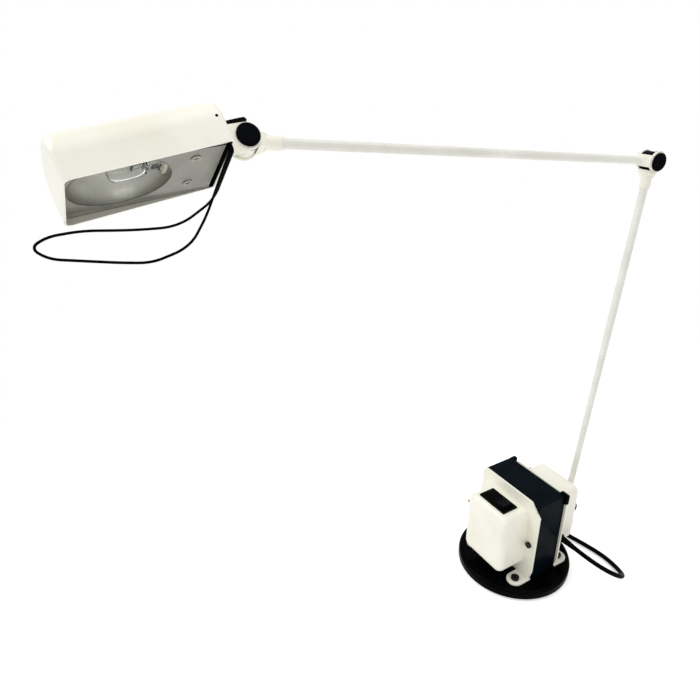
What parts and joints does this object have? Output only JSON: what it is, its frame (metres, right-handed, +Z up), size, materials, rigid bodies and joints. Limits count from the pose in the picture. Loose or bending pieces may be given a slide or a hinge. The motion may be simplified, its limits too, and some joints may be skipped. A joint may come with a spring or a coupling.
{
  "type": "counterweight balance desk lamp",
  "caption": "Desk lamp with thin two-part folding arm, tilting and turning boxy head with a wire handle, and a transformer with rocker switch on a round base as its counterweight.",
  "frame": {"origin": "centre of the underside of the round base", "axes": "+Z up; the rocker switch and the lamp head lie on the -Y side, the arm pivot behind the transformer on the +Y side"},
  "size_m": [0.2069, 0.5603, 0.4982],
  "materials": {
    "black_gloss": "gloss",
    "core_black": "satin",
    "cream": "satin",
    "copper_winding": "satin",
    "steel": "satin",
    "black_steel": "satin",
    "black_cap": "gloss",
    "black_plastic": "matte",
    "switch_black": "gloss",
    "cord_rubber": "satin",
    "pad_rubber": "matte",
    "reflector": "satin",
    "bright_reflector": "gloss",
    "ceramic": "matte",
    "glass": "gloss",
    "brass": "satin"
  },
  "bodies": {
    "base": {"base_disc": "black_gloss", "base_pad": "pad_rubber", "core_laminations": "core_black", "winding": "copper_winding", "front_bell_cover": "cream", "rear_bell_cover": "cream", "clamp_bolts": "black_steel", "clamp_nuts": "black_steel", "foot_screws": "black_steel", "switch_bezel": "switch_black", "cord_gland": "cord_rubber", "mains_cord": "cord_rubber", "cord_coil": "cord_rubber", "plug_body": "cord_rubber", "plug_pins": "brass", "rear_bracket": "cream", "bracket_screws": "black_steel"},
    "rocker": {"switch_rocker": "switch_black"},
    "swivel": {"swivel_fitting": "cream", "swivel_nut": "black_steel", "base_drum": "black_plastic", "base_washer": "black_plastic", "base_pivot_bolt": "black_cap", "base_pivot_nut": "black_cap"},
    "lower_arm": {"lower_arm_foot_fitting": "cream", "lower_arm_tube": "cream", "lower_arm_elbow_fitting": "cream", "elbow_drum": "black_plastic", "elbow_washer": "black_plastic", "elbow_pivot_bolt": "black_cap", "elbow_pivot_nut": "black_cap"},
    "upper_arm": {"upper_arm_elbow_fitting": "cream", "upper_arm_tube": "cream", "upper_arm_step_ring": "cream"},
    "head_collar": {"head_collar_fitting": "cream", "head_drum": "cream", "head_washer": "black_plastic", "head_pivot_bolt": "black_cap", "head_pivot_nut": "black_cap"},
    "head": {"head_bracket": "cream", "head_bracket_screws": "steel", "cable_cover": "black_plastic", "shade": "cream", "reflector_plate": "reflector", "plate_screws": "steel", "plate_posts": "steel", "reflector_bowl": "bright_reflector", "lamp_holder": "ceramic", "bulb_pins": "steel", "bulb_glass": "glass", "bulb_filament": "steel", "handle_clip": "black_plastic", "wire_handle": "black_steel"}
  },
  "joints": [
    {"name": "swivel_turn", "type": "hinge", "parent": "base", "child": "swivel", "pos_m": [0, 0.078, 0.0458], "axis": [0, 0, 1], "range_deg": [-80, 80]},
    {"name": "lower_arm_tilt", "type": "hinge", "parent": "swivel", "child": "lower_arm", "pos_m": [0, 0.078, 0.0458], "axis": [0.9954, -0.0958, 0], "range_deg": [-46, 16]},
    {"name": "elbow_fold", "type": "hinge", "parent": "lower_arm", "child": "upper_arm", "pos_m": [0.0026, 0.10496, 0.43315], "axis": [0.9954, -0.0958, 0], "range_deg": [-86, 14]},
    {"name": "head_twist", "type": "hinge", "parent": "upper_arm", "child": "head_collar", "pos_m": [-0.03366, -0.27155, 0.47258], "axis": [-0.0953, -0.99, 0.1037], "range_deg": [-120, 55]},
    {"name": "head_tilt", "type": "hinge", "parent": "head_collar", "child": "head", "pos_m": [-0.03366, -0.27155, 0.47258], "axis": [0.8235, -0.0199, 0.5669], "range_deg": [-56, 88]},
    {"name": "switch_rock", "type": "hinge", "parent": "base", "child": "rocker", "pos_m": [0, -0.0348, 0.098], "axis": [0, 1, 0], "range_deg": [0, 10]}
  ]
}
